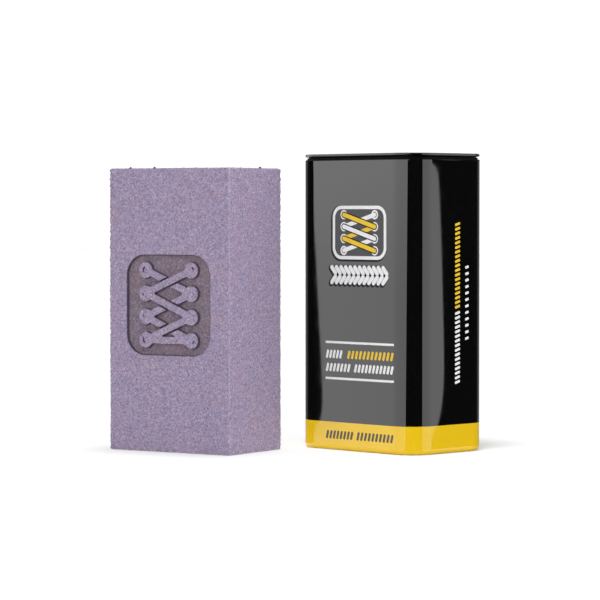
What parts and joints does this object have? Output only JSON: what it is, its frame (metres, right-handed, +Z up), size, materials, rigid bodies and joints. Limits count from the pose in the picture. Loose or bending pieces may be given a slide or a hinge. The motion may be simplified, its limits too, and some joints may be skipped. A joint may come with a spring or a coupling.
{
  "type": "suede eraser",
  "caption": "Upright abrasive eraser block for suede with a sunk lacing badge, standing beside its rectangular round-cornered tin with a plug lid.",
  "frame": {"origin": "on the standing surface, under the middle of the bounding box of the block and the tin together", "axes": "+Z up; the tin's wide front face looks along -Y and its narrow side faces along +X and -X; the block stands in front of the tin's left side, turned 13.35 degrees anticlockwise seen from above"},
  "size_m": [0.1036, 0.0946, 0.105],
  "materials": {
    "abrasive_crumb": "matt lilac bonded crumb with pale and dark grains, rough to the touch",
    "black_lacquer": "glossy black lacquer on tinplate, with a yellow printed band round the foot",
    "bare_tinplate": "bright tinplate with a faint rolling grain"
  },
  "bodies": {
    "tin": {"tin_wall": "black_lacquer", "tin_bottom": "bare_tinplate", "tin_neck_ring": "black_lacquer"},
    "lid": {"tin_lid": "black_lacquer"},
    "block": {"eraser_block": "abrasive_crumb"}
  },
  "joints": [
    {"name": "lid_lift", "type": "slide", "parent": "tin", "child": "lid", "axis": [0, 0, 1], "range_m": [0, 0.06]},
    {"name": "block_lift", "type": "slide", "parent": "tin", "child": "block", "axis": [0, 0, 1], "range_m": [0, 0.12]}
  ]
}
